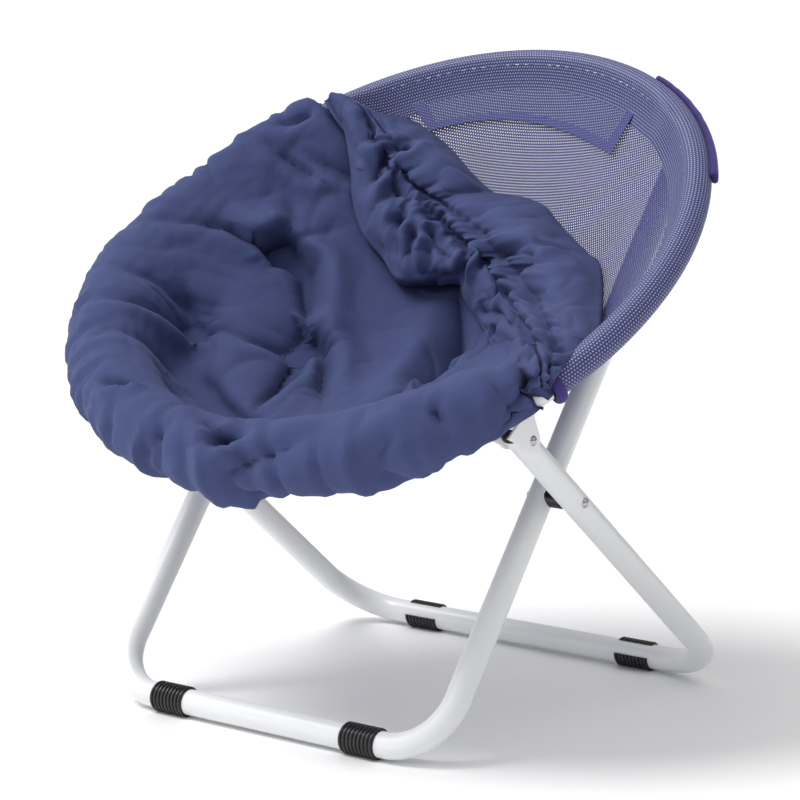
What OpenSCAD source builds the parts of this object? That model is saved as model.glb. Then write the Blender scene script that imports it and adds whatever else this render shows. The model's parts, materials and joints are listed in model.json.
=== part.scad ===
/* [Tube] */
// Outer diameter of every steel tube
tube_d = 28; // [22:1:34]
// Wall of every steel tube
tube_wall = 1.5; // [1:0.1:2.5]

/* [Front frame] */
// Half width between the centres of its two legs
front_half_w = 224; // [200:1:236]
// Centre radius of its two bends
front_bend_r = 64; // [45:1:90]
// Lean of its legs back from upright, in degrees
front_lean = 37.2; // [34:0.1:40]

/* [Rear frame] */
// Half width between the centres of its two legs
rear_half_w = 266; // [256:1:272]
// Centre radius of its two bends
rear_bend_r = 72; // [45:1:90]
// Lean of its legs forward from upright, in degrees
rear_lean = 51; // [49:0.1:53]
// Distance on the floor between the two bottom rails
rail_spread = 476; // [460:1:490]

/* [Hoop] */
// Radius of the seat hoop to the centre of its tube
hoop_r = 340; // [336:1:346]
// Tilt of the hoop back from level, in degrees
hoop_tilt = 36.1; // [34:0.1:38]
// Height of the hoop's centre above the floor
hoop_z = 488; // [484:1:496]
// Distance of the hoop's centre behind the front rail
hoop_back = 224; // [218:1:230]
// Distance of the side hinges in front of the hoop's centre
hinge_forward = 150; // [146:1:154]

/* [Clevises] */
// Depth of the front pivots under the hoop's plane
front_drop = 42; // [40:0.5:46]
// Depth of the rear pivots under the hoop's plane
rear_drop = 35; // [33:0.5:40]
// Thickness of the clevis plate
ear_t = 2.5; // [2:0.1:3]
// Radius of an ear round its pivot
ear_r = 12; // [10:0.5:13]
// Side gap between an ear and the leg in it
ear_gap = 0.4; // [0.2:0.1:0.8]

/* [Rivets] */
// Diameter of a rivet's shank
rivet_d = 6; // [5:0.5:7]
// Diameter of a rivet's domed head
rivet_head_d = 11; // [10:0.5:13]
// Height of a rivet's domed head
rivet_head_h = 3.2; // [2.5:0.1:4]
// Radial clearance of a rivet in its hole
pin_clear = 0.05; // [0.03:0.01:0.08]

/* [Feet] */
// Length of a foot along the rail
foot_l = 45; // [35:1:60]
// Wall of a foot over its ribs
foot_wall = 2.8; // [2.2:0.1:4]
// Number of ribs round a foot
foot_ribs = 9; // [5:2:11]
// Distance of a front foot from the middle
front_foot_x = 132; // [100:1:135]
// Distance of a rear foot from the middle
rear_foot_x = 153; // [110:1:160]

/* [Sling] */
// Depth of the mesh bowl under the hoop's plane
bowl_depth = 150; // [120:1:155]
// Thickness of the mesh and of its sleeve
mesh_t = 2; // [1.2:0.1:2.4]
// Radius of the mesh bowl inside the sleeve
bowl_r = 300; // [290:1:302]
// Radius over which the bottom of the bowl is rounded
bowl_round = 80; // [50:5:100]
// Width of the reinforcing patch at the back
patch_w = 40; // [25:1:60]

/* [Padded cover] */
// Thickness of the quilted seat pad at its puffs
pad_t = 34; // [24:1:40]
// Depth of a tuft in the seat pad
tuft_depth = 20; // [8:1:22]
// Greatest radius of the padded roll over the hoop
roll_r = 56; // [50:1:58]
// Thickness of the peeled-back skirt
skirt_t = 26; // [16:1:32]
// Radius of the gathered elastic hem
hem_r = 13; // [9:1:15]

/* [Hidden] */

$fn = 48;
tube_r = tube_d / 2;
bore_r = tube_r - tube_wall;
rivet_r = rivet_d / 2;
head_r = rivet_head_d / 2;
hole_r = rivet_r + pin_clear;
cut = 1; // overrun of every cut past its face

// Flat on the underside of each foot
foot_flat = 0.4;
rail_z = tube_r + foot_wall - foot_flat;

// The origin lies on the floor, under the middle of the whole chair. The cover bulges on the left, so the
// frame's own middle lies a little to the right.
front_rail_y = -213;
frame_x = 10;
rear_rail_y = front_rail_y + rail_spread;
hoop_y = front_rail_y + hoop_back;

// Crossing of the two leg lines, seen from the side
cross_rise = rail_spread / (tan(front_lean) + tan(rear_lean));
front_cross = cross_rise / cos(front_lean);
rear_cross = cross_rise / cos(rear_lean);

// Place of a side-view point in the hoop's own frame, as [along, above]
function in_hoop(y, z) = [
    (y - hoop_y) * cos(hoop_tilt) + (z - hoop_z) * sin(hoop_tilt),
    -(y - hoop_y) * sin(hoop_tilt) + (z - hoop_z) * cos(hoop_tilt)];
front_foot_at = in_hoop(front_rail_y, rail_z);
rear_foot_at = in_hoop(rear_rail_y, rail_z);
front_turn = 90 - front_lean - hoop_tilt;
rear_turn = 90 + rear_lean - hoop_tilt;

// Length of each leg from its rail to its pivot, and the pivots in the hoop's frame
front_reach = (-rear_drop - front_foot_at[1]) / sin(front_turn);
rear_reach = (-front_drop - rear_foot_at[1]) / sin(rear_turn);
rear_pivot_u = front_foot_at[0] + front_reach * cos(front_turn);
front_pivot_u = rear_foot_at[0] + rear_reach * cos(rear_turn);
front_tip = 10;
rear_tip = 14;

plug_t = 2;
plug_stem = 6;
plug_clear = 0.3;

hinge_angle = asin(hinge_forward / hoop_r);
hinge_x = hoop_r * cos(hinge_angle);
// Arc from the hinge's axis to its collar, and to the tube's end
collar_gap = 16;
collar_l = 5;
collar_turn = collar_gap / hoop_r * 180 / PI;
end_turn = (collar_gap + collar_l) / hoop_r * 180 / PI;
tube_end_turn = end_turn + 0.01;
knuckle_r = 8;
knuckle_t = 3;
knuckle_hold = 6;
tongue_t = 5;
knuckle_gap = 0.15;
spigot_turn = 2.4;
spigot_clear = 0.6;
spigot_start = (collar_turn + end_turn) / 2;

// Web of a clevis, and the length of its ears in front of and behind the pivot
web_top = 11;
web_t = 4.5;
front_web = [-13, 13];
rear_web = [-30, -9];
front_ear = [-30, 18];
rear_ear = [-31, 17];
seat_gap = 0.05;

foot_grip = 0.05;
foot_open = 70; // degrees left open round the rail
rib_share = 0.32;
front_foot_open = 90;
rear_foot_open = -128;

soft_gap = 0.3;
bowl_power = 0.575;
bowl_rings = 12;
sleeve_in = tube_r + soft_gap;
sleeve_out = sleeve_in + mesh_t;
patch_turn = 31;
binding_r = 3;
clevis_room = 34;

// Peel line of the cover: it runs from the left rear to the right front.
peel_turn = 52.1;
peel_line = 38;
peel_bulge = 42;
hem_room = hem_r + 2 * soft_gap;
pad_edge_share = 0.88;
pad_gap = 0.9; // over the bowl, which has flat facets
quilt_share = 0.45;
pad_edge = 7;
pad_rings = 13;
pad_spokes = 44;
tuft_r = 34;
tufts_share = [[-0.66, 0.12], [-0.73, -0.34], [-0.39, -0.20], [-0.22, -0.78], [0.02, 0.06],
    [0.12, -0.58], [-0.40, 0.46], [0.42, -0.52]];
// Sewn channels, each from one tuft to another, and how deep they are
channels = [[0, 2], [2, 3], [1, 2], [0, 1], [0, 6]];
channels_share = [0.8, 1, 0.35, 0.3, 0.35];
channel_depth = 15;
channel_r = 18;
puffs = 13;
puff_depth = 3.5;
roll_stop = 188;

function bowl_rise(r) = pow(r * r / (bowl_round * bowl_round) + 1, bowl_power) - 1;
function bowl(r) = -bowl_depth * (1 - bowl_rise(min(r, hoop_r)) / bowl_rise(hoop_r));
function polar(x, u) = sqrt(x * x + u * u);

// Frame of the hoop: its centre, with Y back along the hoop and Z out of the seat
module hoop_frame() translate([frame_x, hoop_y, hoop_z]) rotate([hoop_tilt, 0, 0]) children();

module front_frame_at() translate([frame_x, front_rail_y, rail_z]) rotate([-front_lean, 0, 0]) children();

module rear_frame_at() translate([frame_x, rear_rail_y, rail_z]) rotate([rear_lean, 0, 0]) children();

module both_sides(side) {
    if (side > 0) children();
    else mirror([1, 0, 0]) children();
}

module bar(r, length) rotate([0, 90, 0]) cylinder(r = r, h = length);

// One U-shaped path of radius r: a rail along X and two legs up Z
module u_path(r, half_w, bend_r, leg_l, over) {
    rail = half_w - bend_r;
    translate([-rail, 0, 0]) bar(r, 2 * rail);
    for (side = [-1, 1]) both_sides(side) {
        translate([rail, 0, bend_r]) rotate([90, 0, 0]) rotate([0, 0, -90])
            rotate_extrude(angle = 90) translate([bend_r, 0]) circle(r = r);
        translate([half_w, 0, bend_r]) cylinder(r = r, h = leg_l - bend_r + over);
    }
}

module u_tube(half_w, bend_r, reach, tip, cross) difference() {
    u_path(tube_r, half_w, bend_r, reach + tip, 0);
    u_path(bore_r, half_w, bend_r, reach + tip, cut);
    for (z = [reach, cross])
        translate([-half_w - tube_r - cut, 0, z]) bar(hole_r, 2 * (half_w + tube_r + cut));
}

module front_frame_tube() color("white") front_frame_at()
    u_tube(front_half_w, front_bend_r, front_reach, front_tip, front_cross);

module rear_frame_tube() color("white") rear_frame_at()
    u_tube(rear_half_w, rear_bend_r, rear_reach, rear_tip, rear_cross);

// Arc of hoop-shaped section, from one angle to another, in the hoop's frame
module hoop_arc(from, to) rotate([0, 0, from])
    rotate_extrude(angle = to - from, $fn = 96) translate([hoop_r, 0]) children();

module ring_section(outer, inner) difference() {
    circle(r = outer);
    circle(r = inner);
}

module front_hoop_tube() color("white") hoop_frame()
    hoop_arc(-180 + hinge_angle + tube_end_turn, -hinge_angle - tube_end_turn) ring_section(tube_r, bore_r);

module rear_hoop_tube() color("white") hoop_frame()
    hoop_arc(-hinge_angle + tube_end_turn, 180 + hinge_angle - tube_end_turn) ring_section(tube_r, bore_r);

// Half section of a foot: a thin wall with round ribs
module foot_section() {
    step = foot_l / foot_ribs;
    rib_r = step * rib_share;
    base = tube_r + foot_wall - rib_r;
    intersection() {
        union() {
            translate([tube_r, 0]) square([base - tube_r, foot_l]);
            for (i = [0 : foot_ribs - 1]) translate([base, (i + 0.5) * step]) circle(r = rib_r, $fn = 16);
        }
        translate([tube_r + foot_grip, 0]) square([2 * foot_wall, foot_l]);
    }
}

// Ribbed clip round a rail along X, open on one side
module foot(x, open_at) difference() {
    translate([x - foot_l / 2, 0, 0]) rotate([0, 90, 0]) rotate([0, 0, open_at + foot_open / 2])
        rotate_extrude(angle = 360 - foot_open) foot_section();
    translate([x - foot_l, -tube_d, -2 * tube_d - rail_z]) cube([2 * foot_l, 2 * tube_d, 2 * tube_d]);
}

module front_foot(side) color("#1b1b1d") translate([frame_x, front_rail_y, rail_z])
    foot(side * front_foot_x, front_foot_open);

module rear_foot(side) color("#1b1b1d") translate([frame_x, rear_rail_y, rail_z])
    foot(side * rear_foot_x, rear_foot_open);

// Plug in the top end of a leg
module leg_plug(x, end) color("#1b1b1d") translate([x, 0, end]) {
    translate([0, 0, -plug_stem]) cylinder(r = bore_r - plug_clear, h = plug_stem);
    cylinder(r1 = tube_r, r2 = tube_r - plug_t, h = plug_t);
}

module front_leg_plug(side) front_frame_at() leg_plug(side * front_half_w, front_reach + front_tip);

module rear_leg_plug(side) rear_frame_at() leg_plug(side * rear_half_w, rear_reach + rear_tip);

// Domed head on the plane x = 0, rising along X
module dome() rotate([0, 90, 0]) rotate_extrude() intersection() {
    dome_r = (head_r * head_r + rivet_head_h * rivet_head_h) / (2 * rivet_head_h);
    translate([0, rivet_head_h - dome_r]) circle(r = dome_r);
    square([head_r, rivet_head_h]);
}

// Rivet along X with a head at each end
module rivet(from, to) {
    translate([from, 0, 0]) bar(rivet_r, to - from);
    translate([to, 0, 0]) dome();
    translate([from, 0, 0]) mirror([1, 0, 0]) dome();
}

// Frame of the right crossing, with its origin on the pivot's line at x = 0
module crossing(side) front_frame_at() translate([0, 0, front_cross]) both_sides(side) children();

spacer_r = 10;
spacer_end = rear_half_w - tube_r - soft_gap;

module crossing_spacer(side) color("#1b1b1d") crossing(side) difference() {
    translate([front_half_w, 0, 0]) bar(spacer_r, spacer_end - front_half_w);
    translate([front_half_w, 0, -tube_d]) cylinder(r = tube_r + seat_gap, h = 2 * tube_d);
    bar(hole_r, 2 * rear_half_w);
}

module crossing_rivet(side) color("silver") crossing(side) {
    from = front_half_w - tube_r;
    translate([from, 0, 0]) bar(rivet_r, spacer_end - from);
    translate([from, 0, 0]) mirror([1, 0, 0]) dome();
}

module crossing_cap(side) color("silver") crossing(side) {
    from = rear_half_w - tube_r;
    translate([from, 0, 0]) bar(rivet_r, tube_d);
    translate([from + tube_d, 0, 0]) dome();
}

// U-shaped bracket under the hoop, its origin on the pivot in the hoop's frame
module clevis(side, x, u, drop, web, ear) color("white") hoop_frame() both_sides(side) difference() {
    inner = tube_r + ear_gap;
    top = drop - web_top;
    translate([x, u, -drop]) {
        translate([-inner - ear_t, web[0], top - web_t]) cube([2 * (inner + ear_t), web[1] - web[0], web_t]);
        for (way = [-1, 1]) translate([way * (inner + ear_t / 2) - ear_t / 2, 0, 0])
            rotate([90, 0, 90]) linear_extrude(height = ear_t) {
                circle(r = ear_r);
                polygon([[-ear_r, 0], [ear_r, 0], [ear[1], top], [ear[0], top]]);
            }
    }
    translate([x - inner - ear_t - cut, u, -drop]) bar(hole_r, 2 * (inner + ear_t + cut));
    rotate_extrude($fn = 96) translate([hoop_r, 0]) circle(r = tube_r + seat_gap);
}

module front_clevis(side)
    clevis(side, rear_half_w, front_pivot_u, front_drop, front_web, front_ear);

module rear_clevis(side)
    clevis(side, front_half_w, rear_pivot_u, rear_drop, rear_web, rear_ear);

module clevis_rivet(side, x, u, drop) color("silver") hoop_frame() both_sides(side)
    translate([x, u, -drop]) {
        reach = tube_r + ear_gap + ear_t;
        rivet(-reach, reach);
    }

module front_clevis_rivet(side) clevis_rivet(side, rear_half_w, front_pivot_u, front_drop);

module rear_clevis_rivet(side) clevis_rivet(side, front_half_w, rear_pivot_u, rear_drop);

// Hinge: frame with its origin on the right hinge's axis
module hinge_at(side) hoop_frame() both_sides(side) translate([hinge_x, -hinge_forward, 0]) children();

// Arc of the hoop from one turn to another, behind a hinge's axis or in front of it
module hinge_arc(way, from, to)
    hoop_arc(-hinge_angle + (way > 0 ? from : -to), -hinge_angle + (way > 0 ? to : -from)) children();

// Collar against the tube's end, and the spigot rooted in it that fills the tube
module hinge_end(side, way) hoop_frame() both_sides(side) {
    hinge_arc(way, collar_turn, end_turn) circle(r = tube_r);
    hinge_arc(way, spigot_start, end_turn + spigot_turn) circle(r = bore_r - spigot_clear);
}

// Flat knuckle plate from x to x + t, reaching back to the collar
module knuckle(x, t, way) translate([x, 0, 0]) rotate([90, 0, 90]) linear_extrude(height = t) {
    circle(r = knuckle_r);
    translate([way > 0 ? 0 : -collar_gap - knuckle_hold, -knuckle_r])
        square([collar_gap + knuckle_hold, 2 * knuckle_r]);
}

module hinge_fork(side) color("#1b1b1d") difference() {
    union() {
        hinge_end(side, 1);
        hinge_at(side) {
            knuckle(tongue_t / 2 + knuckle_gap, knuckle_t, 1);
            knuckle(-tongue_t / 2 - knuckle_gap - knuckle_t, knuckle_t, 1);
        }
    }
    hinge_at(side) translate([-knuckle_r, 0, 0]) bar(hole_r, 2 * knuckle_r);
}

module hinge_tongue(side) color("#1b1b1d") difference() {
    union() {
        hinge_end(side, -1);
        hinge_at(side) knuckle(-tongue_t / 2, tongue_t, -1);
    }
    hinge_at(side) translate([-knuckle_r, 0, 0]) bar(hole_r, 2 * knuckle_r);
}

module hinge_pin(side) color("silver") hinge_at(side) {
    reach = tongue_t / 2 + knuckle_gap + knuckle_t;
    rivet(-reach, reach);
}

// Closed profile of a bowl-shaped sheet between two radii, lifted off the bowl
module bowl_sheet(from, to, lift, thick) {
    step = (to - from) / bowl_rings;
    polygon(concat(
        [for (i = [0 : bowl_rings]) [from + i * step, bowl(from + i * step) + lift]],
        [for (i = [bowl_rings : -1 : 0]) [from + i * step, bowl(from + i * step) + lift + thick]]));
}

module mesh_bowl() color("#3f4a86") hoop_frame()
    rotate_extrude($fn = 96) bowl_sheet(0, bowl_r, -mesh_t, mesh_t);

// Room that a clevis needs through the sleeve
module clevis_window(x, u) for (side = [-1, 1])
    translate([side * x - clevis_room, u - clevis_room, -hoop_r])
        cube([2 * clevis_room, 2 * clevis_room, hoop_r]);

// Sleeve round the hoop's tube, with the strip of mesh that joins it to the bowl
module sleeve(from, to) {
    hoop_arc(from, to) ring_section(sleeve_out, sleeve_in);
    rotate([0, 0, from]) rotate_extrude(angle = to - from, $fn = 96)
        bowl_sheet(bowl_r + soft_gap, hoop_r - bore_r, -mesh_t, mesh_t);
}

module mesh_sleeve_rear() color("#3f4a86") hoop_frame() difference() {
    sleeve(-hinge_angle + 2 * end_turn, 180 + hinge_angle - 2 * end_turn);
    clevis_window(front_half_w, rear_pivot_u);
}

front_sleeve_turn = acos((rear_half_w - clevis_room) / hoop_r);

module mesh_sleeve_front() color("#3f4a86") hoop_frame()
    sleeve(-180 + front_sleeve_turn, -front_sleeve_turn);

module back_patch() color("#39437c") hoop_frame() rotate([0, 0, 90 - patch_turn])
    rotate_extrude(angle = 2 * patch_turn, $fn = 96)
        bowl_sheet(bowl_r - patch_w, bowl_r - soft_gap, soft_gap / 2, mesh_t / 2);

// Bound edge of the sleeve's window over a rear clevis
module binding_rear(side, from, to) color("#4a3f8c") hoop_frame() both_sides(side)
    hoop_arc(from, to) translate([sleeve_out + binding_r + seat_gap, 0]) circle(r = binding_r, $fn = 16);

// Height of the pad's top over the bowl: crown, edge and tufts
function tuft(x, u, i) = let (
    d = polar(x - tufts_share[i][0] * hoop_r, u - tufts_share[i][1] * hoop_r) / tuft_r)
    exp(-d * d);
function tuft_sum(x, u) = min(1, max([for (i = [0 : len(tufts_share) - 1]) tuft(x, u, i)]));
function tuft_at(i) = tufts_share[i] * hoop_r;
function off_channel(p, a, b) = let (t = max(0, min(1, (p - a) * (b - a) / ((b - a) * (b - a)))))
    norm(p - a - t * (b - a)) / channel_r;
function channel(p, i) = let (d = off_channel(p, tuft_at(channels[i][0]), tuft_at(channels[i][1])))
    channels_share[i] * exp(-d * d);
function channel_sum(p) = max([for (i = [0 : len(channels) - 1]) channel(p, i)]);
function puff(x, u) = pad_t - max(tuft_depth * tuft_sum(x, u), channel_depth * channel_sum([x, u]))
    - puff_depth * pow(sin(180 * (x + u) / (hoop_r * quilt_share)), 2)
    - puff_depth * pow(sin(180 * (x - u) / (hoop_r * quilt_share)), 2);

// The peel line as a shallow arc: its distance from the middle at each place along it
function peel_out(along) = peel_line + peel_bulge * (1 - pow(along / bowl_r, 2));

// Outer edge of the seat pad along a bearing, cut off by the peel line
function edge_r(a) = let (
    c = cos(a - peel_turn),
    peak = peel_line + peel_bulge - hem_room,
    bend = 4 * peak * peel_bulge * pow(sin(a - peel_turn) / bowl_r, 2),
    full = hoop_r * pad_edge_share)
    c > 0 ? min(full, 2 * peak / (c + sqrt(c * c + bend))) : full;
function shrink(k) = sqrt(max(0, 1 - pow(k, 6)));

// Closed skin from a grid of rings; each ring is a list of points
function ring_faces(rings, n) = [for (i = [0 : rings - 2], j = [0 : n - 1]) each [
    [i * n + j, i * n + (j + 1) % n, (i + 1) * n + (j + 1) % n],
    [i * n + j, (i + 1) * n + (j + 1) % n, (i + 1) * n + j]]];
function cap_faces(first, n, up) = [for (j = [1 : n - 2])
    up ? [first, first + j + 1, first + j] : [first, first + j, first + j + 1]];

function pad_place(i, j) = let (a = 360 * j / pad_spokes, r = edge_r(a) * i / pad_rings)
    [r * cos(a), r * sin(a)];
function pad_base(p) = bowl(polar(p[0], p[1])) + pad_gap;
function pad_top(p, k) = pad_base(p) + pad_edge + (puff(p[0], p[1]) - pad_edge) * shrink(k);

module seat_pad() color("#454f88") hoop_frame() {
    n = pad_spokes;
    top = [for (i = [1 : pad_rings], j = [0 : n - 1]) let (p = pad_place(i, j))
        [p[0], p[1], pad_top(p, i / pad_rings)]];
    low = [for (i = [pad_rings : -1 : 1], j = [0 : n - 1]) let (p = pad_place(i, j))
        [p[0], p[1], pad_base(p)]];
    apex = 2 * pad_rings * n;
    ends = [[0, 0, pad_top([0, 0], 0)], [0, 0, pad_base([0, 0])]];
    polyhedron(concat(top, low, ends), concat(
        ring_faces(2 * pad_rings, n),
        [for (j = [0 : n - 1]) [apex, (j + 1) % n, j]],
        [for (j = [0 : n - 1]) [apex + 1, apex - n + j, apex - n + (j + 1) % n]]));
}

// Padded roll that wraps the hoop's tube. Its thickness at even steps along each part is given low on
// the outer side, straight out, on top and inside, as shares of its greatest radius.
roll_low = -72;
roll_in = 150;
roll_sides = 9;
roll_core = (sleeve_out + 2 * soft_gap) / cos((roll_in - roll_low) / roll_sides / 2);
left_roll_start = 134;
left_roll_spare = 1; // turn left free before the hinge
left_roll_steps = 24;
left_low_share = [0.40, 0.43, 0.47, 0.60, 0.78];
left_out_share = [0.42, 0.46, 0.50, 0.72, 0.92];
left_top_share = [0.46, 0.58, 0.66, 0.84, 1.00];
left_in_share = [0.46, 0.54, 0.60, 0.64, 0.64];
front_roll_steps = 44;
front_low_share = [0.74, 0.50, 0.38, 0.37, 0.38, 0.42, 0.40];
front_out_share = [0.90, 0.64, 0.42, 0.39, 0.44, 0.54, 0.42];
front_top_share = [0.98, 0.94, 0.92, 0.88, 0.90, 0.90, 0.60];
front_in_share = [0.62, 0.60, 0.60, 0.60, 0.60, 0.60, 0.50];
roll_dent = 4;
roll_least = 1;

function smooth_at(list, t) = let (
    q = t * (len(list) - 1),
    i = min(floor(q), len(list) - 2),
    f = q - i)
    list[i] + (list[i + 1] - list[i]) * f * f * (3 - 2 * f);

function roll_side(i) = roll_low + (roll_in - roll_low) * i / roll_sides;
function roll_out(a, t, shares) = let (
    around = (a - roll_low) / (roll_in - roll_low),
    share = smooth_at([for (s = shares) smooth_at(s, t)], around),
    dent = roll_dent * pow(sin(180 * t * puffs) * sin(180 * around), 2))
    max(roll_core + roll_least, roll_r * share - dent);
function roll_at(turn, a, q) = let (r = hoop_r + q * cos(a)) [r * cos(turn), r * sin(turn), q * sin(a)];
module roll(from, to, steps, shares) {
    n = 2 * (roll_sides + 1);
    points = [for (s = [0 : steps]) let (turn = from + (to - from) * s / steps) each concat(
        [for (i = [0 : roll_sides]) roll_at(turn, roll_side(i), roll_out(roll_side(i), s / steps, shares))],
        [for (i = [roll_sides : -1 : 0]) roll_at(turn, roll_side(i), roll_core)])];
    polyhedron(points, concat(ring_faces(steps + 1, n), strip_cap(0, roll_sides, false),
        strip_cap(steps * n, roll_sides, true)));
}

// End face of a strip whose section runs out along one side and back along the other
function strip_cap(first, rows, flip) = [for (i = [0 : rows - 1]) let (
    a = first + i, b = first + i + 1, c = first + 2 * rows - i, d = first + 2 * rows + 1 - i)
    each flip ? [[a, b, c], [a, c, d]] : [[a, c, b], [a, d, c]]];

roll_turn = asin(roll_stop / hoop_r);
corner_low = 6;

// Room under the cover's front corners for the front clevises and the folded legs
module corner_room(side) both_sides(side)
    translate([rear_half_w - clevis_room, -hoop_r, -hoop_r - corner_low]) cube(hoop_r);

module cover_roll_front() color("#454f88") hoop_frame() difference() {
    roll(-180 + roll_turn, -roll_turn, front_roll_steps,
        [front_low_share, front_out_share, front_top_share, front_in_share]);
    for (side = [-1, 1]) corner_room(side);
}

module cover_roll_left() color("#454f88") hoop_frame() difference() {
    roll(left_roll_start, 180 + hinge_angle - left_roll_spare, left_roll_steps,
        [left_low_share, left_out_share, left_top_share, left_in_share]);
    clevis_window(front_half_w, rear_pivot_u);
}

// Skirt of the cover, turned back over the mesh in puffed lobes
skirt_steps = 40;
skirt_rows = 6;
skirt_half = 262;
skirt_reach = 112;
skirt_reach_share = [0.2, 0.3, 0.34, 0.72, 0.85, 0.9, 1.0, 1.0, 0.9, 0.6];
skirt_edge = 2;
skirt_lobes = 4.5;
lobe_share = 0.3; // depth of the dips between lobes
skirt_lip_share = 0.12;
skirt_tip_share = 0.04;
skirt_round = 0.6;
skirt_taper = 0.4;

// Point of the hoop's plane at a place along the peel line and a distance out from the middle
function peel_point(along, out) = [
    out * cos(peel_turn) + along * sin(peel_turn),
    out * sin(peel_turn) - along * cos(peel_turn)];
function held_in(p, r) = p * min(1, r / polar(p[0], p[1]));

function skirt_place(t, v) = let (along = skirt_half * (2 * t - 1))
    held_in(peel_point(along, peel_out(along) + hem_room + v * skirt_reach * smooth_at(skirt_reach_share, t)),
        bowl_r - tube_r);
function skirt_base(p) = bowl(polar(p[0], p[1])) + pad_gap;
function skirt_high(t, v) = skirt_edge + (skirt_t - skirt_edge)
    * (1 - lobe_share * pow(cos(180 * t * skirt_lobes), 2))
    * pow(sin(180 * (skirt_lip_share + (1 - skirt_lip_share) * v)), skirt_round)
    * pow(sin(180 * (skirt_tip_share + (1 - 2 * skirt_tip_share) * t)), skirt_taper);

module cover_skirt() color("#454f88") hoop_frame() {
    points = [for (s = [0 : skirt_steps]) let (t = s / skirt_steps) each concat(
        [for (i = [0 : skirt_rows]) let (p = skirt_place(t, i / skirt_rows))
            [p[0], p[1], skirt_base(p) + skirt_high(t, i / skirt_rows)]],
        [for (i = [skirt_rows : -1 : 0]) let (p = skirt_place(t, i / skirt_rows))
            [p[0], p[1], skirt_base(p)]])];
    faces = concat(ring_faces(skirt_steps + 1, 2 * (skirt_rows + 1)), strip_cap(0, skirt_rows, false),
        strip_cap(skirt_steps * 2 * (skirt_rows + 1), skirt_rows, true));
    polyhedron(points, faces);
}

// Gathered channel of elastic along the peel line
hem_steps = 60;
hem_sides = 8;
hem_half = 268;
hem_lift = 5;
hem_gathers = 20;

function hem_centre(t) = let (
    along = hem_half * (2 * t - 1),
    p = held_in(peel_point(along, peel_out(along)), bowl_r - tube_r))
    [p[0], p[1], bowl(polar(p[0], p[1])) + hem_lift + hem_r];
function hem_thick(t) = hem_r * (0.84 + 0.16 * cos(360 * hem_gathers * t));

module elastic_hem() color("#3c467c") hoop_frame() {
    points = [for (s = [0 : hem_steps], j = [0 : hem_sides - 1]) let (
        c = hem_centre(s / hem_steps), a = 360 * j / hem_sides, q = hem_thick(s / hem_steps))
        c + q * [cos(a) * cos(peel_turn), cos(a) * sin(peel_turn), sin(a)]];
    faces = concat(ring_faces(hem_steps + 1, hem_sides), cap_faces(0, hem_sides, true),
        cap_faces(hem_steps * hem_sides, hem_sides, false));
    polyhedron(points, [for (f = faces) [f[0], f[2], f[1]]]);
}

front_frame_tube();
rear_frame_tube();
front_hoop_tube();
rear_hoop_tube();
front_foot(-1);  // front_foot_left
front_foot(1);  // front_foot_right
rear_foot(-1);  // rear_foot_left
rear_foot(1);  // rear_foot_right
front_leg_plug(-1);  // front_leg_plug_left
front_leg_plug(1);  // front_leg_plug_right
rear_leg_plug(-1);  // rear_leg_plug_left
rear_leg_plug(1);  // rear_leg_plug_right
crossing_spacer(-1);  // crossing_spacer_left
crossing_spacer(1);  // crossing_spacer_right
crossing_rivet(-1);  // crossing_rivet_left
crossing_rivet(1);  // crossing_rivet_right
crossing_cap(-1);  // crossing_cap_left
crossing_cap(1);  // crossing_cap_right
front_clevis(-1);  // front_clevis_left
front_clevis(1);  // front_clevis_right
rear_clevis(-1);  // rear_clevis_left
rear_clevis(1);  // rear_clevis_right
front_clevis_rivet(-1);  // front_clevis_rivet_left
front_clevis_rivet(1);  // front_clevis_rivet_right
rear_clevis_rivet(-1);  // rear_clevis_rivet_left
rear_clevis_rivet(1);  // rear_clevis_rivet_right
hinge_fork(-1);  // hinge_fork_left
hinge_fork(1);  // hinge_fork_right
hinge_tongue(-1);  // hinge_tongue_left
hinge_tongue(1);  // hinge_tongue_right
hinge_pin(-1);  // hinge_pin_left
hinge_pin(1);  // hinge_pin_right
mesh_bowl();
mesh_sleeve_rear();
mesh_sleeve_front();
back_patch();
binding_rear(-1, 49, 62);  // binding_rear_left
binding_rear(1, 26, 62);  // binding_rear_right
seat_pad();
cover_roll_left();
cover_roll_front();
cover_skirt();
elastic_hem();
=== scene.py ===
import json
import math
import bpy
import numpy as np
from mathutils import Matrix, Vector, noise


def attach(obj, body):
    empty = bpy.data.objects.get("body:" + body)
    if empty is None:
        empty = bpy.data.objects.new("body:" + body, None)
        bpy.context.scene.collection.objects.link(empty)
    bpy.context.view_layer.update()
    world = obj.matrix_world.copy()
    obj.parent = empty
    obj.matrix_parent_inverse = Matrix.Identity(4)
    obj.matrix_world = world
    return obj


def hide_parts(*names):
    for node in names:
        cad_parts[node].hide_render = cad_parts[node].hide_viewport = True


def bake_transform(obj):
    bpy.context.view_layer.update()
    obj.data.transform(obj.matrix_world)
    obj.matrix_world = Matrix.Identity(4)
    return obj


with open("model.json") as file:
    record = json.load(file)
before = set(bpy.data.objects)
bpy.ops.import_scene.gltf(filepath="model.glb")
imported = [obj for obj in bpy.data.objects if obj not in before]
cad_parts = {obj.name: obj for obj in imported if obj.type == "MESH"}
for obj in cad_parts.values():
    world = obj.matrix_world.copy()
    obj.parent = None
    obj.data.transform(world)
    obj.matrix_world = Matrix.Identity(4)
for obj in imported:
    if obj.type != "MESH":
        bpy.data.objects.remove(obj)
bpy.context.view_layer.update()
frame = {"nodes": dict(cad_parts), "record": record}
print("frame loaded:", len(frame["nodes"]), "nodes")

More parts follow.
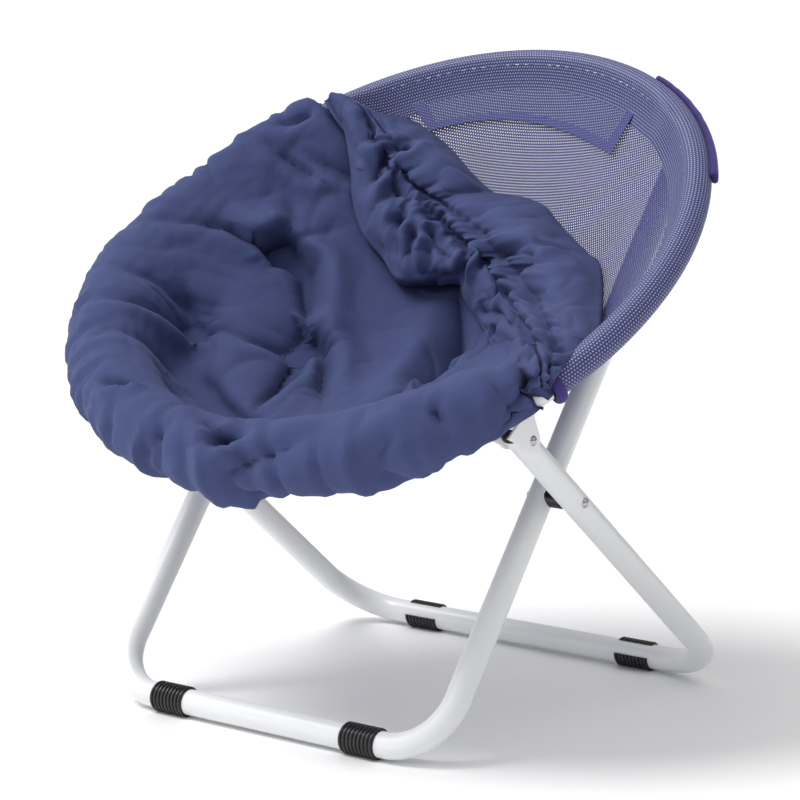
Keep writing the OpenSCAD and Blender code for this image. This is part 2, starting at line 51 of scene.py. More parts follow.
# the seat hoop's own frame: x along the width, u back along the hoop, h out of the seat, in metres
hoop = {"x": 0.010, "y": 0.011, "z": 0.488, "tilt": math.radians(36.1), "radius": 0.340,
        "depth": 0.150, "round": 0.080, "power": 0.575, "hinge": 0.150}
tiltCos, tiltSin = math.cos(hoop["tilt"]), math.sin(hoop["tilt"])


def toWorld(points):
    p = np.asarray(points, float)
    x, u, h = p[..., 0], p[..., 1], p[..., 2]
    return np.stack([hoop["x"] + x, hoop["y"] + u * tiltCos - h * tiltSin, hoop["z"] + u * tiltSin + h * tiltCos], -1)


def bowlHeight(r):
    rise = lambda q: (q * q / hoop["round"] ** 2 + 1) ** hoop["power"] - 1
    return -hoop["depth"] * (1 - rise(np.minimum(r, hoop["radius"])) / rise(hoop["radius"]))


def smooth(t):
    t = np.clip(t, 0, 1)
    return t * t * (3 - 2 * t)


def bump(d, width):
    return np.exp(-(d / width) ** 2)


def curveAt(keys, values, x):  # smooth curve through a few stations
    keys, values = np.asarray(keys, float), np.asarray(values, float)
    i = np.clip(np.searchsorted(keys, x) - 1, 0, len(keys) - 2)
    t = smooth((x - keys[i]) / (keys[i + 1] - keys[i]))
    return values[i] * (1 - t) + values[i + 1] * t


def noiseAt(points, size, seed=0.0):
    flat = np.asarray(points, float).reshape(-1, 3) / size + seed
    return np.array([noise.noise(Vector(p)) for p in flat]).reshape(np.asarray(points).shape[:-1])


def lengthAlong(points, axis=0):  # how far along its chain each point lies
    steps = np.linalg.norm(np.diff(points, axis=axis), axis=-1)
    start = np.zeros_like(np.take(steps, [0], axis))
    return np.concatenate([start, np.cumsum(steps, axis)], axis)


# camera and studio light
view = {"azimuth": math.radians(38.20), "elevation": math.radians(9.14), "distance": 3.2415, "sensor": 36,
        "focalPixels": 2814.9, "imagePixels": 800, "aside": -0.07167, "above": 0.3103, "target": (0.010, 0.1306, 0)}
forward = Vector((-math.sin(view["azimuth"]) * math.cos(view["elevation"]),
                  math.cos(view["azimuth"]) * math.cos(view["elevation"]), -math.sin(view["elevation"])))
rightWay = Vector((math.cos(view["azimuth"]), math.sin(view["azimuth"]), 0))
upWay = rightWay.cross(forward)
cameraData = bpy.data.cameras.new("photoCamera")
cameraData.sensor_width = view["sensor"]
cameraData.lens = view["focalPixels"] * view["sensor"] / view["imagePixels"]
camera = bpy.data.objects.new("photoCamera", cameraData)
bpy.context.collection.objects.link(camera)
camera.matrix_world = Matrix((rightWay, upWay, -forward)).transposed().to_4x4()
camera.location = (-view["distance"] * forward + view["aside"] * rightWay + view["above"] * upWay
                   + Vector(view["target"]))
bpy.context.scene.camera = camera

studio = {"world": 0.93, "dark": 0.0, "from": (-0.75, -0.35, 0.55), "backdrop": 1.1, "aim": (0, 0, 0.4),
          "sun": 1.85, "sunSpread": 26, "sunAt": (-1.1, -0.9, 2.8),
          "fill": 14, "fillSize": 3.0, "fillAt": (2.4, 0.6, 1.8),
          "front": 16, "frontAt": (-2.2, -2.6, 0.9), "frontAim": (0, 0, 0.3),
          "floor": 0.97, "floorRoughness": 0.6, "floorSize": 24}
world = bpy.data.worlds.new("studio")
world.use_nodes = True
nodes, links = world.node_tree.nodes, world.node_tree.links
# the sky's light is strongest from the side that "from" names, and the camera sees an even white
sky, seen = nodes["Background"], nodes.new("ShaderNodeBackground")
seen.inputs["Strength"].default_value = studio["backdrop"]
for light in (sky, seen):
    light.inputs["Color"].default_value = (1, 1, 1, 1)
ways, facing = nodes.new("ShaderNodeTexCoord"), nodes.new("ShaderNodeVectorMath")
facing.operation = "DOT_PRODUCT"
facing.inputs[1].default_value = Vector(studio["from"]).normalized()
spread = nodes.new("ShaderNodeMapRange")
spread.inputs["From Min"].default_value, spread.inputs["To Min"].default_value = -1, studio["dark"]
spread.inputs["To Max"].default_value = studio["world"]
path, shown = nodes.new("ShaderNodeLightPath"), nodes.new("ShaderNodeMixShader")
for source, goal in ((ways.outputs["Generated"], facing.inputs[0]), (facing.outputs["Value"], spread.inputs["Value"]),
                     (spread.outputs["Result"], sky.inputs["Strength"]),
                     (path.outputs["Is Camera Ray"], shown.inputs[0]), (sky.outputs[0], shown.inputs[1]),
                     (seen.outputs[0], shown.inputs[2]), (shown.outputs[0], nodes["World Output"].inputs["Surface"])):
    links.new(source, goal)
bpy.context.scene.world = world
bpy.context.scene.view_settings.view_transform = "Standard"


def addLight(name, kind, at, aim, power):
    data = bpy.data.lights.new(name, kind)
    data.energy = power
    light = bpy.data.objects.new(name, data)
    light.location = at
    light.rotation_euler = (Vector(aim) - Vector(at)).to_track_quat("-Z", "Y").to_euler()
    bpy.context.collection.objects.link(light)
    return data


addLight("keySun", "SUN", studio["sunAt"], studio["aim"], studio["sun"]).angle = math.radians(studio["sunSpread"])
addLight("fillLight", "AREA", studio["fillAt"], studio["aim"], studio["fill"]).size = studio["fillSize"]
addLight("frontFill", "AREA", studio["frontAt"], studio["frontAim"], studio["front"]).size = studio["fillSize"]
print("camera and lights ready")


# materials
def newMaterial(name):
    material = bpy.data.materials.new(name)
    material.use_nodes = True
    nodes, links = material.node_tree.nodes, material.node_tree.links
    return material, nodes, links, nodes["Principled BSDF"]


def node(nodes, kind, **values):
    made = nodes.new(kind)
    for key, value in values.items():
        if key in made.inputs:
            made.inputs[key].default_value = value
        else:
            setattr(made, key, value)
    return made


def noiseNode(nodes, links, place, scale, detail, over="Object", **more):
    made = node(nodes, "ShaderNodeTexNoise", Scale=scale, Detail=detail, **more)
    links.new(place.outputs[over], made.inputs["Vector"])
    return made.outputs["Fac"]


def mathNode(nodes, links, operation, *terms):  # a term is a number, or what another node gives
    made = node(nodes, "ShaderNodeMath", operation=operation)
    for socket, term in zip(made.inputs, terms):
        if isinstance(term, float):
            socket.default_value = term
        else:
            links.new(term, socket)
    return made.outputs["Value"]


def twoColors(nodes, links, source, first, firstAt, second, secondAt):
    ramp = nodes.new("ShaderNodeValToRGB")
    for stop, color, position in zip(ramp.color_ramp.elements, (first, second), (firstAt, secondAt)):
        stop.color, stop.position = color, position
    links.new(source, ramp.inputs["Fac"])
    return ramp.outputs["Color"]


def bumpFrom(nodes, links, shader, height, strength, distance):
    made = node(nodes, "ShaderNodeBump", Strength=strength, Distance=distance)
    links.new(height, made.inputs["Height"])
    links.new(made.outputs["Normal"], shader.inputs["Normal"])


def glossNoise(nodes, links, shader, place, scale, detail, roughness):  # gloss that varies over the piece
    rough = nodes.new("ShaderNodeMapRange")
    rough.inputs["To Min"].default_value, rough.inputs["To Max"].default_value = roughness
    links.new(noiseNode(nodes, links, place, scale, detail), rough.inputs["Value"])
    links.new(rough.outputs["Result"], shader.inputs["Roughness"])


def paintMaterial():
    paint = {"color": (0.80, 0.81, 0.82, 1), "darker": 0.975, "tintScale": 9.0, "roughness": 0.34, "coat": 0.25,
             "coatRoughness": 0.22, "grainScale": 900.0, "grainBump": 0.08, "grainDepth": 0.0002}
    material, nodes, links, shader = newMaterial("tubePaint")
    shader.inputs["Roughness"].default_value = paint["roughness"]
    shader.inputs["Coat Weight"].default_value = paint["coat"]
    shader.inputs["Coat Roughness"].default_value = paint["coatRoughness"]
    place = node(nodes, "ShaderNodeTexCoord")
    darker = [c * paint["darker"] for c in paint["color"][:3]] + [1]
    patches = noiseNode(nodes, links, place, paint["tintScale"], 3.0)
    links.new(twoColors(nodes, links, patches, darker, 0, paint["color"], 1), shader.inputs["Base Color"])
    grain = noiseNode(nodes, links, place, paint["grainScale"], 2.0)
    bumpFrom(nodes, links, shader, grain, paint["grainBump"], paint["grainDepth"])
    return material


def plasticMaterial():
    plastic = {"color": (0.012, 0.012, 0.014, 1), "roughness": (0.18, 0.36), "scuffScale": 60.0,
               "grainScale": 1400.0, "grainBump": 0.1, "grainDepth": 0.0001}
    material, nodes, links, shader = newMaterial("blackPlastic")
    shader.inputs["Base Color"].default_value = plastic["color"]
    place = node(nodes, "ShaderNodeTexCoord")
    glossNoise(nodes, links, shader, place, plastic["scuffScale"], 4.0, plastic["roughness"])
    grain = noiseNode(nodes, links, place, plastic["grainScale"], 1.0)
    bumpFrom(nodes, links, shader, grain, plastic["grainBump"], plastic["grainDepth"])
    return material


def rivetMaterial():
    steel = {"color": (0.46, 0.46, 0.48, 1), "roughness": (0.11, 0.30), "brushScale": 420.0}
    material, nodes, links, shader = newMaterial("rivetSteel")
    shader.inputs["Base Color"].default_value = steel["color"]
    shader.inputs["Metallic"].default_value = 1.0
    glossNoise(nodes, links, shader, node(nodes, "ShaderNodeTexCoord"), steel["brushScale"], 3.0, steel["roughness"])
    return material


# plain woven cotton: a light and a dark dye in patches and threads, with painted shade darkening the colour in hollows
# and creases, over a fine weave
cloth = {"roughness": 0.88, "specular": 0.25, "sheenRoughness": 0.45, "sheenTint": (0.62, 0.68, 1.0, 1),
         "patchScale": 7.0, "threadScale": 900.0, "threadShare": 0.35, "darkAt": 0.35, "lightAt": 0.95,
         "paintedShadeReach": 0.09, "paintedShadeAt": 0.18, "paintedLightAt": 0.92, "paintedShadeTint": (0.22, 0.22, 0.34, 1),
         "paintedLightTint": (1.06, 1.06, 1.04, 1), "weaveBump": 0.25, "weaveDepth": 0.0002,
         "creaseScale": 26.0, "creaseTwist": 0.8, "creaseBump": 0.35, "creaseDepth": 0.004}


def clothMaterial(name, light, dark, weave=0.0011, sheen=0.25):
    material, nodes, links, shader = newMaterial(name)
    shader.inputs["Roughness"].default_value = cloth["roughness"]
    shader.inputs["Specular IOR Level"].default_value = cloth["specular"]
    shader.inputs["Sheen Weight"].default_value = sheen
    shader.inputs["Sheen Roughness"].default_value = cloth["sheenRoughness"]
    shader.inputs["Sheen Tint"].default_value = cloth["sheenTint"]
    place = node(nodes, "ShaderNodeTexCoord")
    patches = noiseNode(nodes, links, place, cloth["patchScale"], 5.0)
    threads = noiseNode(nodes, links, place, cloth["threadScale"], 2.0, over="UV")
    both = mathNode(nodes, links, "MULTIPLY_ADD", threads, cloth["threadShare"], patches)
    dye = twoColors(nodes, links, both, dark, cloth["darkAt"], light, cloth["lightAt"])
    # painted shade: an Ambient Occlusion node darkens the dye in hollows and creases and lifts it a little in the open
    deep = node(nodes, "ShaderNodeAmbientOcclusion", Distance=cloth["paintedShadeReach"])
    shade = twoColors(nodes, links, deep.outputs["AO"], cloth["paintedShadeTint"], cloth["paintedShadeAt"], cloth["paintedLightTint"],
                      cloth["paintedLightAt"])
    dyeWithPaintedShade = node(nodes, "ShaderNodeMix", data_type="RGBA", blend_type="MULTIPLY")
    dyeWithPaintedShade.inputs["Factor"].default_value = 1.0
    links.new(dye, dyeWithPaintedShade.inputs["A"])
    links.new(shade, dyeWithPaintedShade.inputs["B"])
    links.new(dyeWithPaintedShade.outputs["Result"], shader.inputs["Base Color"])
    split = node(nodes, "ShaderNodeSeparateXYZ")
    links.new(place.outputs["UV"], split.inputs["Vector"])
    waves = []
    for axis in ("X", "Y"):
        turn = mathNode(nodes, links, "MULTIPLY", split.outputs[axis], 2 * math.pi / weave)
        waves.append(mathNode(nodes, links, "SINE", turn))
    weaveBump = node(nodes, "ShaderNodeBump", Strength=cloth["weaveBump"], Distance=cloth["weaveDepth"])
    links.new(mathNode(nodes, links, "MULTIPLY", *waves), weaveBump.inputs["Height"])
    crease = noiseNode(nodes, links, place, cloth["creaseScale"], 5.0, Distortion=cloth["creaseTwist"])
    creaseBump = node(nodes, "ShaderNodeBump", Strength=cloth["creaseBump"], Distance=cloth["creaseDepth"])
    links.new(crease, creaseBump.inputs["Height"])
    links.new(weaveBump.outputs["Normal"], creaseBump.inputs["Normal"])
    links.new(creaseBump.outputs["Normal"], shader.inputs["Normal"])
    return material


# knitted mesh: rows of round holes on the cloth's own UV map, each row half a hole further along
knit = {"pitch": 0.0035, "roughness": 0.55, "sheen": 0.12, "sheenTint": (0.7, 0.74, 1.0, 1), "opaque": 0.97,
        "bump": 0.5, "depth": 0.0006}


def meshMaterial(name, yarn, hole=0.20, dots=None):
    material, nodes, links, shader = newMaterial(name)
    shader.inputs["Base Color"].default_value = yarn
    shader.inputs["Roughness"].default_value = knit["roughness"]
    shader.inputs["Sheen Weight"].default_value = knit["sheen"]
    shader.inputs["Sheen Tint"].default_value = knit["sheenTint"]
    place = node(nodes, "ShaderNodeTexCoord")
    scaled = node(nodes, "ShaderNodeVectorMath", operation="SCALE", Scale=1 / knit["pitch"])
    links.new(place.outputs["UV"], scaled.inputs[0])
    split = node(nodes, "ShaderNodeSeparateXYZ")
    links.new(scaled.outputs["Vector"], split.inputs["Vector"])
    row = mathNode(nodes, links, "FLOOR", split.outputs["Y"])
    shifted = mathNode(nodes, links, "MULTIPLY_ADD", row, 0.5, split.outputs["X"])
    joined = node(nodes, "ShaderNodeCombineXYZ")
    for axis, source in (("X", shifted), ("Y", split.outputs["Y"])):
        part = mathNode(nodes, links, "FRACT", source)
        links.new(mathNode(nodes, links, "SUBTRACT", part, 0.5), joined.inputs[axis])
    far = node(nodes, "ShaderNodeVectorMath", operation="LENGTH")
    links.new(joined.outputs["Vector"], far.inputs[0])
    solid = mathNode(nodes, links, "GREATER_THAN", far.outputs["Value"], hole)
    if dots:  # closed: what lies close below shows as pale dots
        pair = node(nodes, "ShaderNodeMix", data_type="RGBA")
        pair.inputs["A"].default_value, pair.inputs["B"].default_value = dots, yarn
        links.new(solid, pair.inputs["Factor"])
        links.new(pair.outputs["Result"], shader.inputs["Base Color"])
    else:
        links.new(mathNode(nodes, links, "MULTIPLY", solid, knit["opaque"]), shader.inputs["Alpha"])
    bumpFrom(nodes, links, shader, far.outputs["Value"], knit["bump"], knit["depth"])
    return material


finish = {
    "tube_paint": paintMaterial(),
    "black_plastic": plasticMaterial(),
    "rivet_steel": rivetMaterial(),
    "sling_mesh": meshMaterial("slingMesh", (0.020, 0.027, 0.150, 1)),
    "edge_binding": clothMaterial("edgeBinding", (0.060, 0.035, 0.20, 1), (0.040, 0.024, 0.14, 1), weave=0.0016),
    "cover_cloth": clothMaterial("coverCloth", (0.054, 0.071, 0.180, 1), (0.040, 0.053, 0.148, 1), sheen=0.10),
}
sleeveFinish = meshMaterial("sleeveMesh", (0.024, 0.031, 0.150, 1), hole=0.25, dots=(0.33, 0.35, 0.46, 1))
patchFinish = meshMaterial("patchMesh", (0.022, 0.029, 0.145, 1), hole=0.23, dots=(0.33, 0.35, 0.46, 1))
hemFinish = meshMaterial("hemMesh", (0.022, 0.028, 0.170, 1), hole=0.16, dots=(0.24, 0.27, 0.46, 1))
slotOf = {part["node"]: part["material_slot"] for part in frame["record"]["subparts"]}
for name, piece in frame["nodes"].items():
    piece.data.materials.clear()
    piece.data.materials.append(finish[slotOf[name]])
    for face in piece.data.polygons:
        face.use_smooth = True
bpy.ops.object.select_all(action="DESELECT")
for piece in frame["nodes"].values():
    piece.select_set(True)
bpy.context.view_layer.objects.active = frame["nodes"]["front_frame_tube"]
bpy.ops.object.shade_smooth_by_angle(angle=math.radians(35))  # edges sharper than this stay crisp
bpy.ops.object.select_all(action="DESELECT")
print("materials ready")


# cloth pieces from grids of points
def gridPiece(name, points, finishName, around=False, poles=(False, False), flatUv=None, dressed=None):
    n, m = points.shape[:2]
    world = toWorld(points).reshape(-1, 3)
    faces, corners = [], []
    for i in range(n - 1):
        for j in range(m if around else m - 1):
            k = (j + 1) % m
            faces.append((i * m + j, i * m + k, (i + 1) * m + k, (i + 1) * m + j))
            corners.append(((i, j), (i, j + 1), (i + 1, j + 1), (i + 1, j)))
    vertices = [tuple(p) for p in world]
    for end, row in ((poles[0], 0), (poles[1], n - 1)):
        if end:
            centre = world[row * m:(row + 1) * m].mean(0)
            vertices.append(tuple(centre))
            for j in range(m):
                k = (j + 1) % m
                a, b = row * m + j, row * m + k
                faces.append((len(vertices) - 1, b, a) if row == 0 else (len(vertices) - 1, a, b))
                corners.append(((row, j), (row, j + 1), (row, j)) if row == 0 else ((row, j), (row, j), (row, j + 1)))
    data = bpy.data.meshes.new(name)
    data.from_pydata(vertices, [], faces)
    if flatUv is not None:
        layer = data.uv_layers.new(name="UVMap")
        values = []
        for quad in corners:
            for i, j in quad:
                values.extend(flatUv(i, j))
        layer.data.foreach_set("uv", np.array(values, np.float32))
    data.materials.append(dressed or finish[finishName])
    for face in data.polygons:
        face.use_smooth = True
    piece = bpy.data.objects.new(name, data)
    bpy.context.collection.objects.link(piece)
    return piece


# the mesh sling: one bowl of net from its middle to the hoop
sling = {"spokes": 192, "rings": 46, "middle": 0.012, "edge": 0.3270, "below": 0.001, "bendFrom": 0.010,
         "bendTo": 0.090}
angles = np.linspace(0, 2 * math.pi, sling["spokes"], endpoint=False)
radii = np.linspace(sling["middle"], sling["edge"], sling["rings"])
slingGrid = np.stack([radii[:, None] * np.cos(angles), radii[:, None] * np.sin(angles),
                      (bowlHeight(radii) - sling["below"])[:, None] + 0 * angles], -1)
along = radii[0] + np.concatenate([[0], np.cumsum(np.hypot(np.diff(radii), np.diff(bowlHeight(radii))))])


def slingUv(i, j):
    a = 2 * math.pi * j / sling["spokes"]
    return along[i] * math.cos(a), along[i] * math.sin(a)


meshSling = gridPiece("meshSling", slingGrid, "sling_mesh", around=True, poles=(True, False), flatUv=slingUv)
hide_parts("mesh_bowl")
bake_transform(meshSling)

# its sleeve, round the tube and down to a seam on the bowl; in degrees, 0 is outside the tube and 90 on top of it
sleeve = {"radius": 0.0160, "from": -165, "to": 118, "steps": 20, "turn": 2.0, "seam": 0.3030, "seamLift": 0.0012,
          "freeFrom": 0.14, "freeSteps": 7, "sag": 0.0035, "bracketX": 0.212, "bracketU": 0.232,
          "bracketLift": 0.010, "bracketWidth": 0.022, "longAt": 0.012, "pastHinge": 3.2,
          "frontFrom": -132.8, "frontTo": -47.2, "bendFrom": -0.004, "bendTo": 0.012}


def sleevePiece(name, start, end, standsFor):
    turns = int((end - start) / sleeve["turn"])
    bearing = np.radians(np.linspace(start, end, turns + 1))
    ring = np.linspace(math.radians(sleeve["from"]), math.radians(sleeve["to"]), sleeve["steps"] + 1)
    section = [(hoop["radius"] + sleeve["radius"] * math.cos(a), sleeve["radius"] * math.sin(a)) for a in ring]
    (topR, topH), seamR = section[-1], sleeve["seam"]
    seamH = float(bowlHeight(seamR)) + sleeve["seamLift"]
    for k in np.linspace(sleeve["freeFrom"], 1, sleeve["freeSteps"]):
        section.append((topR + (seamR - topR) * k,
                        topH + (seamH - topH) * k - sleeve["sag"] * math.sin(math.pi * k)))
    section = np.array(section)
    points = np.stack([section[None, :, 0] * np.cos(bearing)[:, None], section[None, :, 0] * np.sin(bearing)[:, None],
                       section[None, :, 1] + 0 * bearing[:, None]], -1)
    free = points[:, -sleeve["freeSteps"] - 1:]
    for side in (-1, 1):  # the mesh lies over the top of each rear bracket
        away = np.hypot(free[..., 0] - side * sleeve["bracketX"], free[..., 1] - sleeve["bracketU"])
        free[..., 2] += sleeve["bracketLift"] * bump(away, sleeve["bracketWidth"])
    around = lengthAlong(section)
    piece = gridPiece(name, points, "sling_mesh", flatUv=lambda i, j: (hoop["radius"] * bearing[i], around[j]),
                      dressed=sleeveFinish)
    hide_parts(standsFor)
    return piece


hingeTurn = math.degrees(math.asin(hoop["hinge"] / hoop["radius"]))
sleeveRear = sleevePiece("meshSleeveRear", -hingeTurn - sleeve["pastHinge"], 180 + hingeTurn + sleeve["pastHinge"],
                         "mesh_sleeve_rear")
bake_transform(sleeveRear)
sleeveFront = sleevePiece("meshSleeveFront", sleeve["frontFrom"], sleeve["frontTo"], "mesh_sleeve_front")
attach(sleeveFront, "front_hoop")

# the reinforcing patch at the back: up to the rim, with a hemmed arc below; its corners are left, middle and right
patch = {"left": 121.0, "right": 60.5, "rim": 0.3255, "lift": 0.0030, "columns": 90, "rows": 24,
         "corners": [(-0.125, 0.248), (-0.002, 0.275), (0.137, 0.230)], "flat": (0.33, 0.075),
         "hem": 0.16, "hemSide": 0.045, "hemSteps": 5, "hemLift": 0.0012}


def patchPoint(t, k):  # t from left to right, k from the rim down
    turn = math.radians(patch["left"] + (patch["right"] - patch["left"]) * t)
    rimX, rimU = patch["rim"] * math.cos(turn), patch["rim"] * math.sin(turn)
    a, b, c = [np.array(p) for p in patch["corners"]]
    low = a * (1 - t) * (1 - 2 * t) + b * 4 * t * (1 - t) + c * t * (2 * t - 1)
    x, u = rimX + (low[0] - rimX) * k, rimU + (low[1] - rimU) * k
    return x, u, bowlHeight(math.hypot(x, u)) + patch["lift"]


def patchGrid(tFrom, tTo, kFrom, kTo, columns, rows, lift):
    points = np.array([[patchPoint(t, k) for t in np.linspace(tFrom, tTo, columns)]
                       for k in np.linspace(kFrom, kTo, rows)])
    points[:, :, 2] += lift
    return points


def patchPiece(name, points, dressed):
    def grainUv(i, j):  # the patch has the sling's own grain
        r = math.hypot(points[i, j, 0], points[i, j, 1])
        grow = float(np.interp(r, radii, along)) / r
        return points[i, j, 0] * grow, points[i, j, 1] * grow
    piece = gridPiece(name, points, "sling_mesh", flatUv=grainUv, dressed=dressed)
    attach(piece, "rear_hoop")
    return piece


def hemPiece(name, tFrom, tTo, kFrom, kTo, columns, rows):
    return patchPiece(name, patchGrid(tFrom, tTo, kFrom, kTo, columns, rows, patch["hemLift"]), hemFinish)


backGrid = patchGrid(0, 1, 0, 1, patch["columns"], patch["rows"], 0)
backPatch = patchPiece("backPatch", backGrid, patchFinish)
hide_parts("back_patch")
hemTop, thin = 1 - patch["hem"], patch["hemSteps"]
hems = [hemPiece("patchHemLow", 0, 1, hemTop, 1, patch["columns"], thin),
        hemPiece("patchHemLeft", 0, patch["hemSide"], 0, hemTop, thin, patch["rows"]),
        hemPiece("patchHemRight", 1 - patch["hemSide"], 1, 0, hemTop, thin, patch["rows"])]
print("sling ready")


# bindings: a folded tape over the cut edges of the mesh, along the rim and round the tube at the side hinges
binding = {"wide": 0.0062, "thick": 0.0046, "out": 0.0190, "ends": 0.0180, "columns": 14, "thread": 0.0011,
           "wobble": 0.12, "wobbleSize": 0.012, "wobbleSeed": 3.0, "rimSteps": 50, "right": (26, 62),
           "left": (118, 131), "endSteps": 40, "endFrom": -118, "endTo": 152, "pastHinge": 2.4}


def bindingPiece(name, centre, outward, body, nodes=()):
    ahead = np.gradient(centre, axis=0)
    ahead /= np.linalg.norm(ahead, axis=1, keepdims=True)
    across = np.cross(ahead, outward)
    turn = np.linspace(0, 2 * math.pi, binding["columns"], endpoint=False)
    everywhere = centre[:, None, :] * np.ones((1, binding["columns"], 1))
    wavy = 1 + binding["wobble"] * noiseAt(everywhere, binding["wobbleSize"], binding["wobbleSeed"])
    points = (centre[:, None] + across[:, None] * (binding["wide"] * np.cos(turn))[None, :, None] * wavy[..., None]
              + outward[:, None] * (binding["thick"] * np.sin(turn))[None, :, None] * wavy[..., None])
    run = lengthAlong(centre)
    piece = gridPiece(name, points, "edge_binding", around=True, poles=(True, True),
                      flatUv=lambda i, j: (run[i], binding["thread"] * j))
    if nodes:
        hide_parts(*nodes)
    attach(piece, body)


for name, span, nodes in (("bindingRight", binding["right"], ["binding_rear_right"]),
                          ("bindingLeft", binding["left"], ["binding_rear_left"])):
    turn = np.radians(np.linspace(*span, binding["rimSteps"]))
    outward = np.stack([np.cos(turn), np.sin(turn), 0 * turn], -1)
    bindingPiece(name, outward * (hoop["radius"] + binding["out"]), outward, "rear_hoop", nodes)
for name, at in (("bindingHingeRight", -hingeTurn - binding["pastHinge"]),
                 ("bindingHingeLeft", 180 + hingeTurn + binding["pastHinge"])):
    ring = np.radians(np.linspace(binding["endFrom"], binding["endTo"], binding["endSteps"]))
    way = np.array([math.cos(math.radians(at)), math.sin(math.radians(at)), 0])
    outward = way * np.cos(ring)[:, None] + np.array([0, 0, 1.0]) * np.sin(ring)[:, None]
    bindingPiece(name, way * hoop["radius"] + outward * binding["ends"], outward, "front_hoop")
print("bindings ready")

# the padded cover over the left and front of the seat
cover = {"spokes": 420, "seatRings": 64, "rampRings": 26, "rollRings": 46, "pad": 0.034, "thinnest": 0.006,
         "edge": 0.006, "lining": 0.0176, "topTurn": 105, "topPower": 1.2, "rampPull": 1.1, "tuckFrom": 0.88,
         "tuckOver": 0.12, "tuck": 0.9, "seatEdge": 0.292, "edgeFrom": 0.9, "edgeOver": 0.1, "edgeStep": 0.002,
         "slopeOver": 0.004, "slopes": (-0.2, 1.2), "bendFrom": 0.010, "bendTo": 0.090}
# where it's turned back, its edge is an open curve across the seat; the moat is the dip inside the front roll
peel = {"turn": 52.1, "line": 0.0254, "bulge": 0.042, "half": 0.300}
moat = {"depth": 0.024, "at": 0.268, "width": 0.030, "from": 0.02, "over": 0.12}
# stations round the hoop, in degrees, and the roll there: radius outside and on top, where its section
# starts and ends (90 is straight out of the seat), and where the seat meets it
stations = [132, 140, 165, 180, 195, 208, 222, 240, 256, 288, 300, 318, 326, 333]
rollOuter = [0.020, 0.024, 0.026, 0.036, 0.046, 0.048, 0.040, 0.025, 0.019, 0.020, 0.025, 0.029, 0.023, 0.019]
rollTop = [0.026, 0.032, 0.036, 0.046, 0.056, 0.058, 0.058, 0.060, 0.060, 0.060, 0.060, 0.056, 0.044, 0.028]
rollStart = [110, 112, 114, 114, 118, 140, 165, 178, 185, 190, 190, 185, 170, 150]
rollEnd = [-60, -85, -90, -80, -60, -30, -14, -40, -100, -100, -60, -14, -10, -8]
seatEdges = [0.250, 0.240, 0.232, 0.226, 0.226, 0.248, 0.270, 0.285, 0.290, 0.292, 0.292, 0.292, 0.292, 0.292]
rollShare = [0, 1, 1, 1, 1, 1, 1, 1, 1, 1, 1, 1, 1, 0]
tufts = [(-0.217, 0.046), (-0.233, -0.122), (-0.122, -0.070), (-0.020, -0.236), (0.110, -0.210), (-0.150, 0.170)]
tuft = {"point": 0.008, "pointWidth": 0.008, "dip": 0.009, "dipWidth": 0.048, "pleats": 9, "pleatTurn": 40,
        "pleatDepth": 0.0018, "pleatReach": 0.028, "pleatFrom": 0.010}
